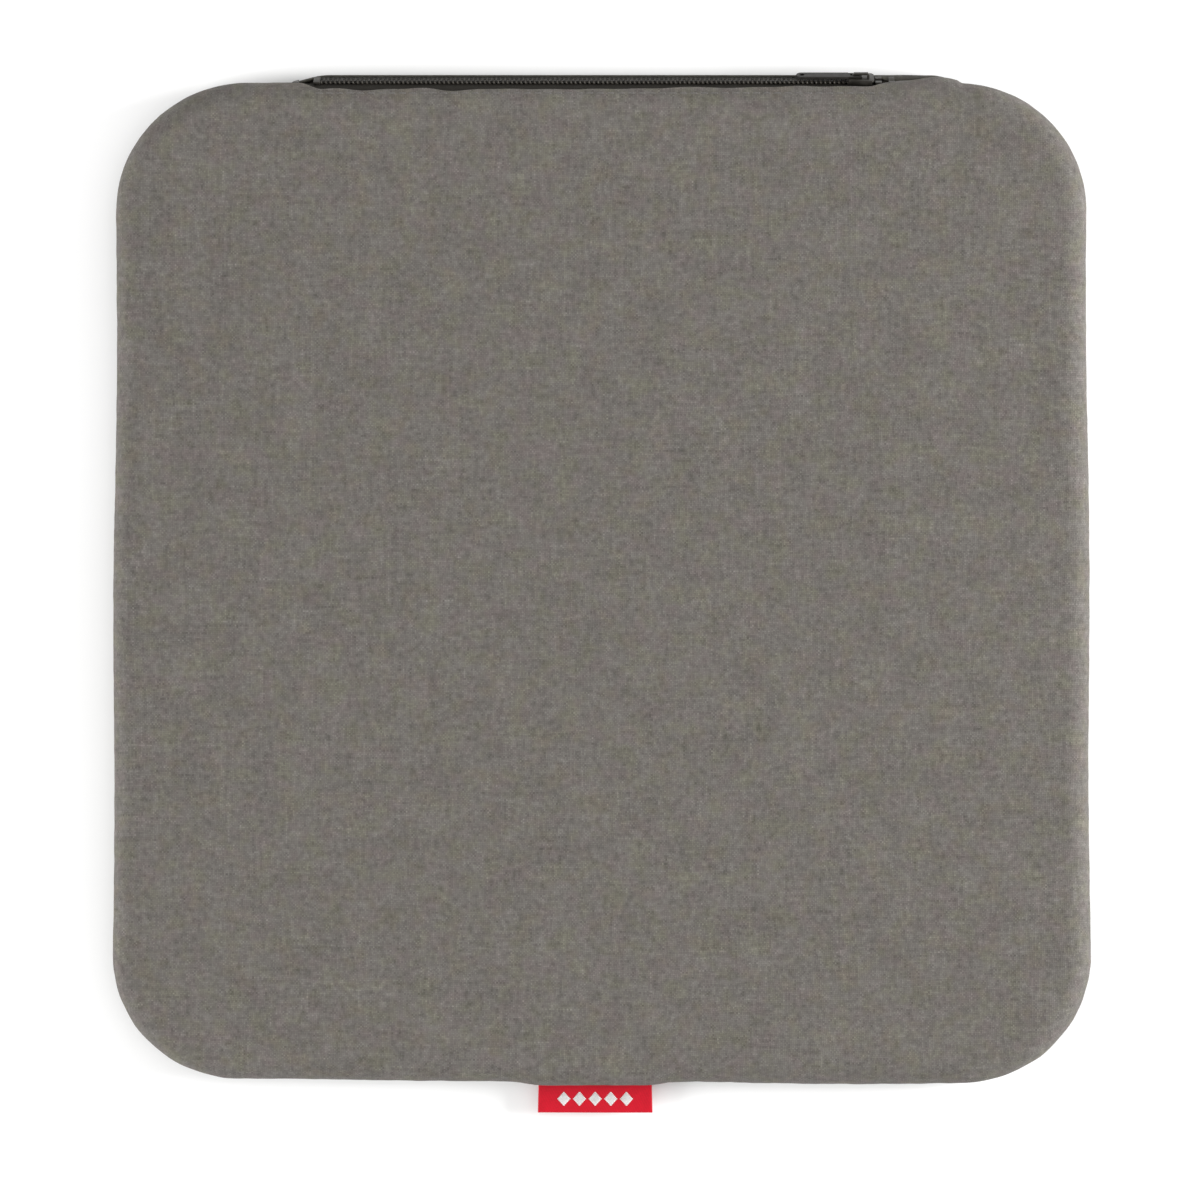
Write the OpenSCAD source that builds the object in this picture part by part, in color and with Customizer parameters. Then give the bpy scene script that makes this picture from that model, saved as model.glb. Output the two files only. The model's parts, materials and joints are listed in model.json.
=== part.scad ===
// Padded mat: a layered insert in a zip-off cloth cover, with a folded tag in the front seam.
// Origin at the middle of the underside, +Z up, +Y towards the zip, -Y towards the tag. Millimetres.

/* [Pad] */
// Width of the pad, left to right
pad_w = 301; // [260:1:400]
// Depth of the pad, front to back, without the tag and the zip's lower lip
pad_d = 308; // [240:1:400]
// Overall thickness
pad_h = 16; // [15:0.5:20]
// Plan radius of the four corners
corner_r = 40; // [25:1:42]

/* [Cover] */
// Thickness of the cover cloth
cloth_t = 0.8; // [0.5:0.1:0.8]
// Radius of the upper edge
edge_r = 8; // [7.5:0.1:8]
// Height of the seam between the top and bottom covers
seam_z = 5; // [4.8:0.1:5.2]

/* [Zip] */
// Left end of the zip's mouth
mouth_x0 = -92; // [-100:1:-60]
// Right end of the zip's mouth
mouth_x1 = 91; // [60:1:100]
// Lean of the zip, between facing straight back (0) and straight up (90)
zip_lean = 30; // [28:1:32]
// Distance between two turns of one coil
coil_pitch = 1.4; // [1.3:0.1:1.8]

/* [Tag] */
// Width of the folded tag
tag_w = 35; // [20:1:60]
// Length of the tag outside the seam
tag_out = 8.6; // [5:0.1:20]
// Sideways place of the tag's middle
tag_x = -2; // [-60:1:60]

/* [Hidden] */
$fn = 64;
eps = 0.05;             // gap between layers that lie on each other
half_w = pad_w / 2;
half_d = pad_d / 2;
mid_x = half_w - corner_r;   // corner centres
mid_y = half_d - corner_r;

// Seam: each cover's edge turns inwards and up behind the wall
hem_gap = 0.1;
allowance_z = seam_z + 3.4;
foot_r = seam_z - eps;       // radius of the lower edge
seam_thread_r = 0.14;
overlock_t = 0.08;

// Zip: the tapes lie inside the cloth's two rolled lips and meet in a leaning plane
tape_t = 0.5;
lip_gap = 3.5;               // from the chain's middle line to each lip
tape_edge = 1;               // from the chain's middle line to each tape
upper_tape_r = edge_r - cloth_t - eps;
lip_r = 4.1;                 // outer radius of the lower lip
lower_tape_r = lip_r - cloth_t - eps;
tangent_r = upper_tape_r - tape_t / 2;
zip_y = half_d - edge_r + tangent_r * cos(zip_lean) + lip_gap * sin(zip_lean);
zip_z = pad_h - edge_r + tangent_r * sin(zip_lean) - lip_gap * cos(zip_lean);
lower_mid_r = lower_tape_r - tape_t / 2;
lower_run = (zip_z - lip_r - lower_mid_r * sin(zip_lean)) / cos(zip_lean);  // straight part of the lower tape
lip_y = zip_y + lower_run * sin(zip_lean) - lower_mid_r * cos(zip_lean);    // centre of the lower lip's roll
lip_edge_a = zip_lean - (lip_gap - lower_run) / lower_mid_r * 180 / PI;
tape_x0 = mouth_x0 + 0.5;
tape_x1 = mouth_x1 - 0.5;

// Slider, at the closed end; its mouth faces +X
slider_l = 8;
slider_x = mouth_x1 - 11;
slider_half = 3.1;           // half width at the mouth
slider_rear_half = 2.3;
plate_t = 0.6;
front_z = 1.52;              // underside of the front plate, above the tapes' middle plane
back_z = -0.45;              // top of the back plate
diamond_half = 0.65;
pin_r = 0.34;
pin_z = 2.54;
bail_half_w = 0.6;
bail_half_l = 2.6;
bail_top = 3.5;
window_half = 1.9;
window_top = 2.95;

// Coils
wire_t = 0.36;
turn_l = 0.5;                // a turn's size along the chain
coil_w = 2;
coil_reach = 0.3;            // how far each coil's heads pass the middle line
coil_z0 = tape_t / 2 + 0.02;
coil_h = 1.06;
parting = 1.05;              // how far the halves part inside the slider's mouth
chain_x0 = mouth_x0 + 5.5;
chain_x1 = slider_x + slider_l / 2;
stop_l = 2.1;
stop_gap = 0.3;

// Pull tab
pull_w = 3.6;
pull_t = 0.7;
pull_l = 20;
eye_l = 3.3;
eye_half_w = 0.7;

// Stitches
stitch_pitch = 3.2;
stitch_l = 2.3;
stitch_r = 0.16;
tack_count = 5;
tack_pitch = 0.36;
tack_r = 0.15;

// Insert: five layers in a liner bag, with a straight recess behind the zip
insert_inset = 3;
liner_t = 0.3;
liner_lo = cloth_t + 0.1;
liner_hi = pad_h - cloth_t - 0.15;
recess_y = half_d - 5;
layer_inset = insert_inset + liner_t + eps;
layer_lo = liner_lo + liner_t + eps;
layer_hi = liner_hi - liner_t - eps;
base_felt_t = 1.8;
foil_t = 0.2;
wicking_felt_t = 2.5;
foam_lo = layer_lo + base_felt_t + eps;
foil_lo = layer_hi - wicking_felt_t - eps - foil_t;
liner_split_z = pad_h / 2;

// Tag
ribbon_t = 0.4;
ribbon_gap = 0.2;
tag_in = 2.6;                // length caught in the seam
tag_t = 2 * ribbon_t + ribbon_gap;
motif_t = 0.08;
motif_count = 5;
motif_size = 2.6;
motif_pitch = 4.8;

// Care label
label_x = -60;
label_w = 26;
label_t = 0.2;
label_gap = 0.1;
label_z0 = 4.5;
label_z1 = 13.1;

// ---- Helpers ----

// A 2-D strip of a ring, from angle a0 to angle a1
module band(centre, r, t, a0, a1) {
    step = (a1 - a0) / 3;
    translate(centre) intersection() {
        difference() {
            circle(r);
            circle(r - t);
        }
        polygon([[0, 0], for (i = [0:3]) 2 * r * [cos(a0 + i * step), sin(a0 + i * step)]]);
    }
}

// A 2-D rectangle between two corners
module box2(x0, y0, x1, y1) {
    translate([x0, y0]) square([x1 - x0, y1 - y0]);
}

// Sweeps a 2-D profile round the pad: its x runs out from the corner centres, its y is the height
module sweep_round() {
    for (i = [0:3]) {
        along = i % 2 == 0 ? mid_y : mid_x;
        out = i % 2 == 0 ? mid_x : mid_y;
        rotate(90 * i) translate([out, along, 0]) {
            rotate([90, 0, 0]) linear_extrude(2 * along) children();
            rotate_extrude(angle = 90) children();
        }
    }
}

// A flat plate between the corner centres
module middle_plate(z0, z1) {
    translate([-mid_x, -mid_y, z0]) cube([2 * mid_x, 2 * mid_y, z1 - z0]);
}

// Extrudes a 2-D (y, z) profile from x0 to x1
module along_x(x0, x1) {
    translate([x0, 0, 0]) rotate([90, 0, 90]) linear_extrude(x1 - x0) children();
}

// The zip's own frame: x along the chain, y down towards the lower lip, z out of the tapes
module at_zip(x = 0) {
    translate([x, zip_y, zip_z]) rotate([zip_lean - 90, 0, 0]) children();
}

// ---- Cover ----

module top_profile() {
    leg_x = corner_r - cloth_t - hem_gap;
    band([corner_r - edge_r, pad_h - edge_r], edge_r, cloth_t, 0, 90);
    box2(0, pad_h - cloth_t, corner_r - edge_r, pad_h);
    box2(corner_r - cloth_t, seam_z, corner_r, pad_h - edge_r);
    box2(leg_x - cloth_t, seam_z, corner_r, seam_z + cloth_t);
    box2(leg_x - cloth_t, seam_z, leg_x, allowance_z);
}

module bottom_profile() {
    leg_x = corner_r - 2 * (cloth_t + hem_gap);
    box2(0, 0, corner_r - foot_r, cloth_t);
    band([corner_r - foot_r, foot_r], foot_r, cloth_t, -90, 0);
    box2(leg_x - cloth_t, foot_r - cloth_t, corner_r - cloth_t / 2, foot_r);
    box2(leg_x - cloth_t, foot_r - cloth_t, leg_x, allowance_z);
}

// The gap in the front seam where the tag passes
module tag_slot() {
    translate([tag_x - tag_w / 2 - 0.1, -half_d - 1, seam_z - tag_t / 2 - eps])
        cube([tag_w + 0.2, tag_in + 1, tag_t + 2 * eps]);
}

module top_cover() {
    hub = [half_d - edge_r, pad_h - edge_r];
    color([0.47, 0.45, 0.42]) difference() {
        union() {
            sweep_round() top_profile();
            middle_plate(pad_h - cloth_t, pad_h);
        }
        along_x(mouth_x0, mouth_x1)
            polygon([hub, hub + 20 * [cos(zip_lean), sin(zip_lean)], hub + [20, -20], hub + [0, -20]]);
        tag_slot();
    }
}

module bottom_cover() {
    roll_y = half_d - foot_r;
    color([0.22, 0.21, 0.2]) difference() {
        union() {
            sweep_round() bottom_profile();
            middle_plate(0, cloth_t);
        }
        along_x(mouth_x0, mouth_x1) box2(roll_y, -1, half_d + 1, pad_h);
        tag_slot();
    }
    color([0.22, 0.21, 0.2]) along_x(mouth_x0, mouth_x1) {
        box2(roll_y, 0, lip_y, cloth_t);
        band([lip_y, lip_r], lip_r, cloth_t, -90, lip_edge_a);
    }
    color([0.22, 0.21, 0.2]) for (x = [mouth_x0 - cloth_t, mouth_x1 - 0.02])
        along_x(x, x + cloth_t + 0.02) lip_end();
}

// Outline of the cloth that closes one end of the lower lip, outside the wall
module lip_end() {
    reach = lip_r - 0.01;
    intersection() {
        union() {
            translate([lip_y, lip_r]) circle(reach);
            polygon([[lip_y, lip_r], [lip_y + reach * cos(lip_edge_a), lip_r + reach * sin(lip_edge_a)],
                     [half_d + 0.02, zip_z]]);
        }
        box2(half_d + 0.02, 0, half_d + 9, zip_z);
    }
}

// Leaves out what crosses the zip's mouth or the tag
module clear_of_openings() {
    difference() {
        children();
        along_x(mouth_x0, mouth_x1) box2(half_d - edge_r, -1, half_d + 1, pad_h);
        tag_slot();
    }
}

module seam_thread() {
    x = corner_r - 3 * cloth_t - 2 * hem_gap - seam_thread_r - 0.01;
    color([0.3, 0.29, 0.27]) clear_of_openings()
        sweep_round() translate([x, seam_z + 1]) circle(seam_thread_r);
}

module seam_overlock() {
    x0 = corner_r - 3 * cloth_t - 2 * hem_gap;
    x1 = corner_r - cloth_t - hem_gap;
    color([0.35, 0.34, 0.32]) clear_of_openings() sweep_round() difference() {
        box2(x0 - overlock_t, allowance_z - 1.5, x1 + overlock_t / 2, allowance_z + overlock_t);
        box2(x0 - 0.01, allowance_z - 2, x1 + 0.01, allowance_z + 0.01);
    }
}

module front_tag() {
    y0 = -half_d - tag_out;
    r = tag_t / 2;
    color([0.86, 0.05, 0.18]) along_x(tag_x - tag_w / 2, tag_x + tag_w / 2) {
        band([y0 + r, seam_z], r, ribbon_t, 90, 270);
        for (s = [-1, 1])
            translate([0, s * (r - ribbon_t / 2)])
                box2(y0 + r, seam_z - ribbon_t / 2, -half_d + tag_in - 0.2, seam_z + ribbon_t / 2);
    }
}

// Woven row of plain lozenges on the tag's upper face
module tag_motif() {
    color("white") for (i = [0:motif_count - 1])
        translate([tag_x + (i - (motif_count - 1) / 2) * motif_pitch, -half_d - tag_out / 2 - 0.4,
                   seam_z + tag_t / 2 + 0.005])
            rotate(45) translate([-motif_size / 2, -motif_size / 2, 0])
                cube([motif_size, motif_size, motif_t]);
}

// Satin label folded at its lower end, hanging from the upper tape inside the cover
module care_label() {
    r = label_t + label_gap / 2;
    y = recess_y + 0.6 + r;
    color("white") along_x(label_x, label_x + label_w) {
        band([y, label_z0 + r], r, label_t, 180, 360);
        for (y0 = [y - r, y + r - label_t]) box2(y0, label_z0 + r - 0.02, y0 + label_t, label_z1);
    }
}

// ---- Zip ----

// Points of an arc from angle a0 to angle a1
function arc(centre, r, a0, a1) =
    [for (i = [0:20]) let (a = a0 + (a1 - a0) * i / 20) centre + r * [cos(a), sin(a)]];

// One tape: a strip round a lip's roll from angle a0, then straight along the zip's plane for run
module tape(centre, r, a0, run) {
    normal = [cos(zip_lean), sin(zip_lean)];
    along = a0 > zip_lean ? [sin(zip_lean), -cos(zip_lean)] : [-sin(zip_lean), cos(zip_lean)];
    color([0.2, 0.19, 0.18]) along_x(tape_x0, tape_x1) polygon(concat(
        arc(centre, r, a0, zip_lean),
        [centre + r * normal + run * along, centre + (r - tape_t) * normal + run * along],
        arc(centre, r - tape_t, zip_lean, a0)));
}

module zip_tape_upper() {
    tape([half_d - edge_r, pad_h - edge_r], upper_tape_r, 60, lip_gap - tape_edge);
}

module zip_tape_lower() {
    tape([lip_y, lip_r], lower_tape_r, -50, lower_run - tape_edge);
}

// How far a coil half stands off its closed line: nothing in the closed chain, more in the slider's mouth
function parted(x) = max(0, min(parting, 0.6 * (x - slider_x + 1.2)));

// One turn of a coil, seen along the chain: a rounded loop of wire
module coil_turn() {
    r = coil_h / 2;
    rotate([90, 0, 90]) linear_extrude(turn_l, center = true) difference() {
        union() {
            for (y = [r - coil_w + coil_reach, coil_reach - r]) translate([y, coil_z0 + r]) circle(r);
            box2(r - coil_w + coil_reach, coil_z0, coil_reach - r, coil_z0 + coil_h);
        }
        for (y = [r - coil_w + coil_reach, coil_reach - r]) translate([y, coil_z0 + r]) circle(r - wire_t);
        box2(r - coil_w + coil_reach, coil_z0 + wire_t, coil_reach - r, coil_z0 + coil_h - wire_t);
    }
}

// side is 1 for the upper coil and -1 for the lower one, whose turns stand half a pitch on
module coil(side) {
    shift = side == 1 ? 0 : coil_pitch / 2;
    count = floor((chain_x1 - chain_x0 - shift) / coil_pitch);
    color([0.12, 0.12, 0.12]) at_zip() for (i = [0:count - 1]) {
        x = chain_x0 + shift + i * coil_pitch;
        translate([x, -side * parted(x), 0]) mirror([0, side == 1 ? 0 : 1, 0]) coil_turn();
    }
}

module coil_upper() { coil(1); }
module coil_lower() { coil(-1); }

// Filler cord inside a coil's closed part
module coil_cord(side) {
    r = coil_h / 2 - wire_t - 0.02;
    color([0.25, 0.25, 0.25]) at_zip()
        translate([chain_x0, -side * (coil_w / 2 - coil_reach), coil_z0 + coil_h / 2])
            rotate([0, 90, 0]) cylinder(r = r, h = slider_x - 2 - chain_x0);
}

module coil_cord_upper() { coil_cord(1); }
module coil_cord_lower() { coil_cord(-1); }

// Thread that sews a coil to its tape, on the coil's back
module coil_thread(side) {
    y = coil_w - coil_reach - 0.8;
    color([0.16, 0.16, 0.16]) at_zip() along_x(chain_x0, slider_x - 2)
        translate([-side * y, coil_z0 + coil_h + 0.01]) box2(-0.15, 0, 0.15, 0.1);
}

module coil_thread_upper() { coil_thread(1); }
module coil_thread_lower() { coil_thread(-1); }

// A row of stitches along X, on a roll of cloth with its centre line at [y, z]
module stitch_row(y, z, r, angle) {
    count = floor((mouth_x1 - mouth_x0 - 2) / stitch_pitch);
    reach = r + stitch_r + 0.01;
    color([0.4, 0.39, 0.36]) for (i = [0:count - 1])
        translate([mouth_x0 + 2 + i * stitch_pitch, y + reach * cos(angle), z + reach * sin(angle)])
            rotate([0, 90, 0]) cylinder(r = stitch_r, h = stitch_l);
}

module topstitch_upper() { stitch_row(half_d - edge_r, pad_h - edge_r, edge_r, zip_lean + 15); }
module topstitch_lower() { stitch_row(lip_y, lip_r, lip_r, lip_edge_a - 23); }

// A clip closed on one tape's edge
module clip_profile(y1) {
    difference() {
        box2(tape_edge - 0.25, -0.7, y1, 1.3);
        box2(tape_edge - 0.02, -tape_t / 2 - 0.02, y1 + 1, tape_t / 2 + 0.02);
    }
}

module top_stops() {
    x0 = chain_x1 + stop_gap;
    color("dimgray") at_zip() for (s = [0, 1])
        mirror([0, s, 0]) along_x(x0, x0 + stop_l) clip_profile(2.5);
}

module bottom_stop() {
    x1 = chain_x0 - stop_gap;
    color("dimgray") at_zip() along_x(x1 - stop_l, x1) {
        clip_profile(2.2);
        mirror([1, 0]) clip_profile(2.2);
        box2(0.25 - tape_edge, -0.7, tape_edge - 0.25, 1.3);
    }
}

// Dense cross stitches that hold the two lips together at one end of the mouth
module bartack(x0) {
    color([0.4, 0.39, 0.36]) at_zip() for (i = [0:tack_count - 1])
        translate([x0 + i * tack_pitch, 0, tape_t / 2 + tack_r + 0.01])
            rotate([90, 0, 0]) cylinder(r = tack_r, h = 5.2, center = true);
}

module bartack_left() { bartack(tape_x0 + 0.4); }
module bartack_right() { bartack(tape_x1 - 0.4 - (tack_count - 1) * tack_pitch); }

// ---- Slider and pull ----

// Outline of one side of a plate, from the closed chain's end to the mouth
function slider_side(rear, front) = let (l = slider_l / 2)
    [[-l, 0], [-l, rear - 0.5], [0.5 - l, rear], [-1.9, rear],
     [0.4, front], [l - 0.7, front], [l, front - 0.7], [l, 0]];

module slider_plate(z0, t) {
    side = slider_side(slider_rear_half, slider_half);
    translate([0, 0, z0]) linear_extrude(t)
        polygon([for (p = side) p, for (i = [len(side) - 2:-1:1]) [side[i][0], -side[i][1]]]);
}

// Rims under the front plate that guide the coils
module slider_rims() {
    wall = 0.3;
    z0 = tape_t / 2 + 0.2;
    translate([0, 0, z0]) linear_extrude(front_z - z0 + 0.1) for (s = [0, 1]) mirror([0, s]) {
        l = slider_l / 2;
        polygon([[-l, 1.85], [-l, slider_rear_half], [-1.9, slider_rear_half], [0.4, slider_half],
                 [l - 0.7, slider_half], [l - 0.7, slider_half - wall],
                 [0.4, slider_half - wall], [-1.9, 1.85]]);
    }
}

// The post that parts the coils and ties the two plates
module diamond() {
    l = slider_l / 2;
    translate([0, 0, back_z - 0.1]) linear_extrude(front_z - back_z + 0.2)
        polygon([[0.7, 0], [2.3, diamond_half], [3.1, diamond_half], [l, 0.5],
                 [l, -0.5], [3.1, -diamond_half], [2.3, -diamond_half]]);
}

module bail() {
    z0 = front_z + plate_t - 0.05;
    rotate([90, 0, 0]) linear_extrude(2 * bail_half_w, center = true) difference() {
        polygon([[-bail_half_l, z0], [bail_half_l, z0],
                 [bail_half_l, bail_top - 0.5], [bail_half_l - 0.5, bail_top],
                 [0.5 - bail_half_l, bail_top], [-bail_half_l, bail_top - 0.5]]);
        box2(-window_half, z0 - 1, window_half, window_top);
    }
}

module slider_body() {
    color("dimgray") at_zip(slider_x) union() {
        slider_plate(back_z - plate_t, plate_t);
        slider_plate(front_z, plate_t);
        slider_rims();
        diamond();
        bail();
    }
}

// Flat tab on a round cross pin that turns inside the bail's window; it lies towards -X
module pull_tab() {
    arm_w = pull_w / 2 - 0.3 - eye_half_w;
    color("dimgray") at_zip(slider_x) translate([0, 0, pin_z]) {
        rotate([90, 0, 0]) cylinder(r = pin_r, h = 2 * eye_half_w + 0.4, center = true);
        for (s = [-1, 1]) translate([0, s * (eye_half_w + arm_w / 2), 0]) {
            rotate([90, 0, 0]) cylinder(r = pull_t / 2, h = arm_w, center = true);
            translate([-eye_l - 0.2, -arm_w / 2, -pull_t / 2]) cube([eye_l + 0.2, arm_w, pull_t]);
        }
        translate([0, 0, -pull_t / 2]) linear_extrude(pull_t) difference() {
            union() {
                box2(pull_w / 2 - pull_l, -pull_w / 2, -eye_l - 0.6, pull_w / 2);
                box2(-eye_l - 0.6, 0.3 - pull_w / 2, -eye_l, pull_w / 2 - 0.3);
                translate([pull_w / 2 - pull_l, 0]) circle(pull_w / 2);
            }
            translate([pull_w / 2 - pull_l, 0]) circle(0.8);
        }
    }
}

// ---- Insert ----

// 2-D outline of the insert's edge at an inset from the cover's outer face
module insert_edge(inset, z0, z1) {
    top_r = edge_r - inset;
    low_r = foot_r - inset;
    out = corner_r - inset;
    box2(0, z0, corner_r - edge_r, z1);
    box2(0, z0, corner_r - foot_r, z1 - top_r);
    box2(0, z0 + low_r, out, z1 - top_r);
    translate([corner_r - edge_r, z1 - top_r]) circle(top_r);
    translate([corner_r - foot_r, z0 + low_r]) circle(low_r);
}

module behind_zip(y0) {
    translate([mouth_x0 - 1, y0, -1]) cube([mouth_x1 - mouth_x0 + 2, 20, pad_h + 2]);
}

// One flat layer of the insert, cut from the insert's form between two heights
module layer(z0, z1) {
    difference() {
        union() {
            sweep_round() intersection() {
                insert_edge(layer_inset, layer_lo, layer_hi);
                box2(0, z0, corner_r, z1);
            }
            middle_plate(z0, z1);
        }
        behind_zip(recess_y - liner_t - eps);
    }
}

// One half of the liner bag between two heights; the plate closes it above or below
module liner_half(z0, z1, plate_lo) {
    color([0.93, 0.93, 0.9]) {
        difference() {
            union() {
                sweep_round() intersection() {
                    difference() {
                        insert_edge(insert_inset, liner_lo, liner_hi);
                        insert_edge(insert_inset + liner_t, liner_lo + liner_t, liner_hi - liner_t);
                    }
                    box2(0, z0, corner_r, z1);
                }
                middle_plate(plate_lo, plate_lo + liner_t);
            }
            behind_zip(recess_y);
        }
        along_x(mouth_x0 - 1, mouth_x1 + 1) intersection() {
            translate([mid_y, 0]) insert_edge(insert_inset, liner_lo, liner_hi);
            box2(recess_y - liner_t, z0, recess_y, z1);
        }
    }
}

// Thread round the join of the two liner halves
module liner_stitching() {
    r = 0.1;
    color([0.8, 0.8, 0.78]) {
        difference() {
            sweep_round() translate([corner_r - insert_inset + r + 0.01, liner_split_z]) circle(r);
            behind_zip(recess_y);
        }
        along_x(mouth_x0 - 0.9, mouth_x1 + 0.9) translate([recess_y + r + 0.01, liner_split_z]) circle(r);
    }
}

module liner_top() { liner_half(liner_split_z + eps / 2, pad_h, liner_hi - liner_t); }
module liner_bottom() { liner_half(0, liner_split_z - eps / 2, liner_lo); }
module wicking_felt() { color([0.85, 0.85, 0.82]) layer(layer_hi - wicking_felt_t, layer_hi); }
module foil_membrane() { color("silver") layer(foil_lo, foil_lo + foil_t); }
module foam_core() { color([0.8, 0.78, 0.72]) layer(foam_lo, foil_lo - eps); }
module base_felt() { color([0.6, 0.6, 0.58]) layer(layer_lo, layer_lo + base_felt_t); }

top_cover();
bottom_cover();
seam_thread();
seam_overlock();
front_tag();
tag_motif();
care_label();
zip_tape_upper();
zip_tape_lower();
coil_upper();
coil_lower();
coil_cord_upper();
coil_cord_lower();
coil_thread_upper();
coil_thread_lower();
topstitch_upper();
topstitch_lower();
top_stops();
bottom_stop();
bartack_left();
bartack_right();
slider_body();
pull_tab();
liner_top();
liner_bottom();
liner_stitching();
wicking_felt();
foil_membrane();
foam_core();
base_felt();
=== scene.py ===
"""Padded mat: a heathered cloth cover with a zip and a folded tag, over a layered insert."""
import json
import math
import random
from functools import reduce

import bpy
import numpy as np
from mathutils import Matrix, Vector
from mathutils.kdtree import KDTree

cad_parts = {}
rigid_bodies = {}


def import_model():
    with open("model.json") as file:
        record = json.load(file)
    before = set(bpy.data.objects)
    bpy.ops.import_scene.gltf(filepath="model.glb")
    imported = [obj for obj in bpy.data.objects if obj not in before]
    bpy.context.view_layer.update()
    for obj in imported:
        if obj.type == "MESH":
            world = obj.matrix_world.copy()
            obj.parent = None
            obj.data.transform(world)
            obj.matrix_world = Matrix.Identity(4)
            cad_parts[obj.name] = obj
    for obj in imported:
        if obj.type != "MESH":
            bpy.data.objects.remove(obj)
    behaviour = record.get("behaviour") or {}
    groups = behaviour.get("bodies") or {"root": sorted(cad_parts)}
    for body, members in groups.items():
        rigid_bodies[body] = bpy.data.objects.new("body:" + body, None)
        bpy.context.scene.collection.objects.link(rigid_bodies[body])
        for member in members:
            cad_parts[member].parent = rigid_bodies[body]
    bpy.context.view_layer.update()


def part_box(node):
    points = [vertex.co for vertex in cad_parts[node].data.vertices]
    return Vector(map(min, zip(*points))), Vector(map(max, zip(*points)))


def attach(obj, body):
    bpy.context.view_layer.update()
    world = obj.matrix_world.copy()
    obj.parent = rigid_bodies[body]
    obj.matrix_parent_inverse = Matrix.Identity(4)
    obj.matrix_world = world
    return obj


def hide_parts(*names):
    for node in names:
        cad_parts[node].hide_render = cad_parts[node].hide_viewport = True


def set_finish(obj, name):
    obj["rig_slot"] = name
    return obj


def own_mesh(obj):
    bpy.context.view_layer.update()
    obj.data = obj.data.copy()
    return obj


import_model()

# ---- Sizes in millimetres, read from the frame or repeated from the design ----

low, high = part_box("top_cover")
HALF_W, HALF_D, HEIGHT = (1000 * v for v in high)
CORNER, EDGE, FOOT = 40.0, 8.0, 4.95  # radii of the plan corner, the upper edge and the lower edge
LEAN = math.radians(30)
TAPE_T, LIP_GAP, LIP_R = 0.5, 3.5, 4.1
UPPER_R, LOWER_R = 6.9, 3.0  # middle line of each tape's roll
ZIP_Y = HALF_D - EDGE + UPPER_R * math.cos(LEAN) + LIP_GAP * math.sin(LEAN)
ZIP_Z = HEIGHT - EDGE + UPPER_R * math.sin(LEAN) - LIP_GAP * math.cos(LEAN)
RUN = (ZIP_Z - LIP_R - LOWER_R * math.sin(LEAN)) / math.cos(LEAN)
LIP_Y = ZIP_Y + RUN * math.sin(LEAN) - LOWER_R * math.cos(LEAN)
low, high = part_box("slider_body")
SLIDER_X = 500 * (low[0] + high[0])
low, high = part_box("coil_upper")
CHAIN_X0, CHAIN_X1 = 1000 * low[0], 1000 * high[0]
low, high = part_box("zip_tape_upper")
TAPE_X0, TAPE_X1 = 1000 * low[0], 1000 * high[0]
low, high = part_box("front_tag")
TAG_X, TAG_W = 500 * (low[0] + high[0]), 1000 * (high[0] - low[0])
TAG_Y0, TAG_Y1 = 1000 * low[1], 1000 * high[1]
TAG_Z = 500 * (low[2] + high[2])
DOWN = np.array([0, math.sin(LEAN), -math.cos(LEAN)])  # along the zip's face, towards the lower lip
OUT = np.array([0, math.cos(LEAN), math.sin(LEAN)])  # square to the zip's face


def smooth(a, b, x):
    """0 up to a, 1 from b, and an even curve between."""
    t = np.clip((np.asarray(x, float) - a) / (b - a), 0, 1)
    return t * t * (3 - 2 * t)


def waves(seed, length, shortest, longest, count):
    """A smooth periodic function of distance, of about unit size."""
    r = random.Random(seed)
    terms = [(round(length / r.uniform(shortest, longest)), r.uniform(0, 2 * math.pi), r.uniform(0.5, 1))
             for _ in range(count)]
    size = math.sqrt(sum(a * a for _, _, a in terms) / 2)
    return lambda s: sum(a * np.sin(2 * math.pi * k * s / length + p) for k, p, a in terms) / size


def waves2(seed, shortest, longest, count):
    """A smooth function of two coordinates, of about unit size."""
    r = random.Random(seed)
    terms = []
    for _ in range(count):
        k, a = 2 * math.pi / r.uniform(shortest, longest), r.uniform(0, 2 * math.pi)
        terms.append((k * math.cos(a), k * math.sin(a), r.uniform(0, 2 * math.pi), r.uniform(0.5, 1)))
    size = math.sqrt(sum(t[3] ** 2 for t in terms) / 2)
    return lambda x, y: sum(a * np.sin(kx * x + ky * y + p) for kx, ky, p, a in terms) / size


# ---- Meshes ----


def make(name, verts, faces, body="mat", cloth=None):
    """A mesh object from millimetre vertices, riding on a body."""
    mesh = bpy.data.meshes.new(name)
    mesh.from_pydata((np.asarray(verts) * 0.001).tolist(), [], faces)
    if cloth is not None:
        attribute = mesh.attributes.new("cloth", "FLOAT_VECTOR", "POINT")
        attribute.data.foreach_set("vector", np.asarray(cloth, np.float32).ravel())
    mesh.update()
    mesh.shade_smooth()
    obj = bpy.data.objects.new(name, mesh)
    bpy.context.scene.collection.objects.link(obj)
    if body:
        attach(obj, body)
    return obj


def ring_faces(count, n, closed):
    """Quads between count successive rings of n points."""
    i = np.arange(n if closed else n - 1)
    j = (i + 1) % n
    faces = []
    for a in range(0, (count - 1) * n, n):
        faces += np.stack([a + i, a + j, a + n + j, a + n + i], 1).tolist()
    return faces


def fan(ring_start, n, centre, turned):
    """Triangles from a ring of n points to a centre point."""
    pairs = [(ring_start + i, ring_start + (i + 1) % n) for i in range(n)]
    return [[b, a, centre] if turned else [a, b, centre] for a, b in pairs]


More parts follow.
